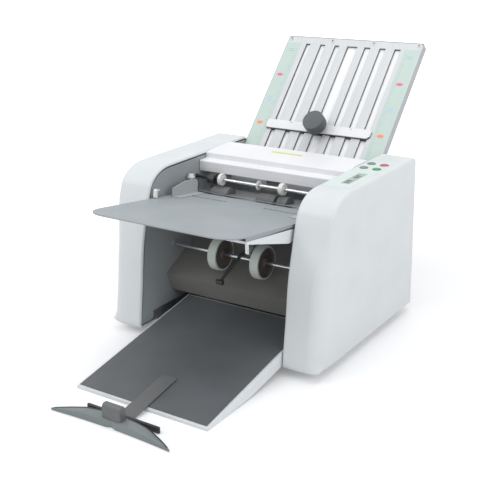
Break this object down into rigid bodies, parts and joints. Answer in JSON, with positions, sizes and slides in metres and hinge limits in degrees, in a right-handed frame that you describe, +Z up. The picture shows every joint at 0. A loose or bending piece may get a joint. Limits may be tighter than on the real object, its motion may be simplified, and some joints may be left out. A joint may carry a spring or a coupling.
{
  "type": "paper folding machine",
  "caption": "Desktop paper folder with moulded side covers, sloping feed table, upright slotted fold plate, geared fold rollers and a low delivery tray.",
  "frame": {"origin": "centre of the footprint on the floor, midway between the tips of the front stop and the top of the fold plate", "axes": "+X towards the side with the control panel, +Y to the rear, +Z up; the sheet is fed along +Y and comes out along -Y"},
  "size_m": [0.502, 0.947, 0.5472],
  "materials": {
    "white_abs": "fine satin moulding",
    "light_grey_abs": "fine spark-eroded texture",
    "dark_grey_abs": "matt moulding",
    "mid_grey_abs": "satin moulding",
    "mint_panel_film": "printed film, left bare",
    "dark_frame_paint": "powder coat",
    "white_plate_paint": "smooth baked enamel",
    "bright_steel": "ground",
    "zinc_plated_steel": "zinc plate",
    "roller_rubber": "ground rubber",
    "pale_wheel_rubber": "soft pale rubber",
    "white_acetal": "semi-gloss moulding",
    "red_key": "semi-gloss key",
    "green_key": "semi-gloss key",
    "grey_key": "semi-gloss key",
    "display_lens": "clear-coated tinted lens",
    "circuit_board": "solder mask"
  },
  "bodies": {
    "chassis": {"base_pan": "zinc_plated_steel", "control_board": "circuit_board", "control_panel": "mint_panel_film", "delivery_tray": "light_grey_abs", "display_window": "display_lens", "exit_plate": "dark_frame_paint", "feed_belt": "roller_rubber", "feed_table": "mid_grey_abs", "finger_tie_rod": "bright_steel", "fold_plate_back": "white_plate_paint", "fold_plate_face": "white_plate_paint", "fold_plate_frame": "mid_grey_abs", "front_left_foot": "roller_rubber", "front_right_foot": "roller_rubber", "rear_left_foot": "roller_rubber", "rear_right_foot": "roller_rubber", "left_cover": "light_grey_abs", "right_cover": "light_grey_abs", "left_side_frame": "dark_frame_paint", "right_side_frame": "dark_frame_paint", "lower_fold_plate": "zinc_plated_steel", "motor": "zinc_plated_steel", "motor_belt": "roller_rubber", "power_inlet": "dark_grey_abs", "rear_cover": "light_grey_abs", "stacker_belt": "roller_rubber", "table_skirt": "light_grey_abs", "table_tie_rod": "bright_steel", "throat_plate": "zinc_plated_steel", "tray_mat": "dark_grey_abs"},
    "lid": {"top_cover": "white_abs", "separator_pad": "roller_rubber"},
    "start_key": {"start_button": "green_key"},
    "stop_key": {"stop_button": "red_key"},
    "up_key": {"count_up_button": "grey_key"},
    "down_key": {"count_down_button": "grey_key"},
    "rocker": {"power_switch": "dark_grey_abs"},
    "left_guide": {"left_paper_guide": "light_grey_abs"},
    "right_guide": {"right_paper_guide": "light_grey_abs"},
    "lever": {"release_lever": "white_acetal"},
    "skew": {"skew_knob": "white_acetal"},
    "middle_roller": {"middle_fold_roller": "roller_rubber", "middle_gear": "white_acetal"},
    "upper_roller": {"upper_fold_roller": "roller_rubber", "upper_gear": "white_acetal"},
    "rear_roller": {"rear_fold_roller": "roller_rubber", "rear_gear": "white_acetal"},
    "lower_roller": {"lower_fold_roller": "roller_rubber", "lower_gear": "white_acetal"},
    "feed": {"feed_roller": "roller_rubber"},
    "pressure": {"pressure_rollers": "white_acetal"},
    "stacker": {"stacker_shaft": "bright_steel", "stacker_wheel_left": "pale_wheel_rubber", "stacker_wheel_right": "pale_wheel_rubber"},
    "motor_shaft": {"motor_pulley": "bright_steel"},
    "upper_stop": {"cross_stop": "white_abs"},
    "clamp_knob": {"cross_stop_knob": "dark_grey_abs"},
    "lower_plate_stop": {"lower_stop": "white_abs"},
    "finger": {"hold_down_finger": "dark_grey_abs"},
    "delivery_stop": {"front_stop": "mid_grey_abs"}
  },
  "joints": [
    {"name": "lid_hinge", "type": "hinge", "parent": "chassis", "child": "lid", "pos_m": [0, 0.2475, 0.331], "axis": [-1, 0, 0], "range_deg": [0, 60]},
    {"name": "start_press", "type": "slide", "parent": "chassis", "child": "start_key", "axis": [0, 0, -1], "range_m": [0, 0.002], "stiffness_N_per_m": 400, "springref_m": -0.002},
    {"name": "stop_press", "type": "slide", "parent": "chassis", "child": "stop_key", "axis": [0, 0, -1], "range_m": [0, 0.002], "stiffness_N_per_m": 400, "springref_m": -0.002},
    {"name": "up_press", "type": "slide", "parent": "chassis", "child": "up_key", "axis": [0, 0, -1], "range_m": [0, 0.002], "stiffness_N_per_m": 400, "springref_m": -0.002},
    {"name": "down_press", "type": "slide", "parent": "chassis", "child": "down_key", "axis": [0, 0, -1], "range_m": [0, 0.002], "stiffness_N_per_m": 400, "springref_m": -0.002},
    {"name": "rocker_tilt", "type": "hinge", "parent": "chassis", "child": "rocker", "pos_m": [0.212, 0.27, 0.102], "axis": [1, 0, 0], "range_deg": [-6, 6]},
    {"name": "left_guide_slide", "type": "slide", "parent": "chassis", "child": "left_guide", "axis": [1, 0, 0], "range_m": [0, 0.085]},
    {"name": "right_guide_slide", "type": "slide", "parent": "chassis", "child": "right_guide", "axis": [-1, 0, 0], "range_m": [0, 0.085]},
    {"name": "lever_swing", "type": "hinge", "parent": "chassis", "child": "lever", "pos_m": [-0.162, -0.08702, 0.29045], "axis": [1, 0, 0], "range_deg": [0, 30]},
    {"name": "skew_turn", "type": "hinge", "parent": "chassis", "child": "skew", "pos_m": [-0.162, 0.03039, 0.27078], "axis": [0, 0.1374, 0.9905], "range_deg": [-90, 90]},
    {"name": "middle_spin", "type": "hinge", "parent": "chassis", "child": "middle_roller", "pos_m": [0, 0.1622, 0.227], "axis": [1, 0, 0], "continuous": true},
    {"name": "upper_spin", "type": "hinge", "parent": "chassis", "child": "upper_roller", "pos_m": [0, 0.15433, 0.25636], "axis": [1, 0, 0], "continuous": true},
    {"name": "rear_spin", "type": "hinge", "parent": "chassis", "child": "rear_roller", "pos_m": [0, 0.19214, 0.23228], "axis": [1, 0, 0], "continuous": true},
    {"name": "lower_spin", "type": "hinge", "parent": "chassis", "child": "lower_roller", "pos_m": [0, 0.1622, 0.1966], "axis": [1, 0, 0], "continuous": true},
    {"name": "feed_spin", "type": "hinge", "parent": "chassis", "child": "feed", "pos_m": [0, 0.0685, 0.2623], "axis": [1, 0, 0], "continuous": true},
    {"name": "pressure_spin", "type": "hinge", "parent": "chassis", "child": "pressure", "pos_m": [0, 0.0685, 0.2966], "axis": [1, 0, 0], "continuous": true},
    {"name": "stacker_spin", "type": "hinge", "parent": "chassis", "child": "stacker", "pos_m": [0, -0.0175, 0.166], "axis": [1, 0, 0], "continuous": true},
    {"name": "motor_spin", "type": "hinge", "parent": "chassis", "child": "motor_shaft", "pos_m": [0, 0.0675, 0.0623], "axis": [1, 0, 0], "continuous": true},
    {"name": "upper_stop_slide", "type": "slide", "parent": "chassis", "child": "upper_stop", "axis": [0, 0.6833, 0.7302], "range_m": [-0.02, 0.2]},
    {"name": "clamp_turn", "type": "hinge", "parent": "upper_stop", "child": "clamp_knob", "pos_m": [0.002, 0.29229, 0.37645], "axis": [0, -0.7302, 0.6833], "range_deg": [0, 120]},
    {"name": "lower_stop_slide", "type": "slide", "parent": "chassis", "child": "lower_plate_stop", "axis": [0, 0.1736, -0.9848], "range_m": [-0.05, 0.05]},
    {"name": "finger_swing", "type": "hinge", "parent": "chassis", "child": "finger", "pos_m": [0.024, -0.0395, 0.19], "axis": [-1, 0, 0], "range_deg": [0, 35]},
    {"name": "delivery_stop_slide", "type": "slide", "parent": "chassis", "child": "delivery_stop", "axis": [0, 0.9863, 0.1647], "range_m": [0, 0.16]}
  ],
  "couplings": [
    {"joint": "right_guide_slide", "follows": "left_guide_slide", "ratio": 1},
    {"joint": "upper_spin", "follows": "middle_spin", "ratio": -1},
    {"joint": "rear_spin", "follows": "middle_spin", "ratio": -1},
    {"joint": "lower_spin", "follows": "middle_spin", "ratio": -1},
    {"joint": "feed_spin", "follows": "middle_spin", "ratio": 0.78571},
    {"joint": "pressure_spin", "follows": "middle_spin", "ratio": -0.99524},
    {"joint": "stacker_spin", "follows": "middle_spin", "ratio": 0.78571},
    {"joint": "motor_spin", "follows": "middle_spin", "ratio": 1.7778}
  ]
}
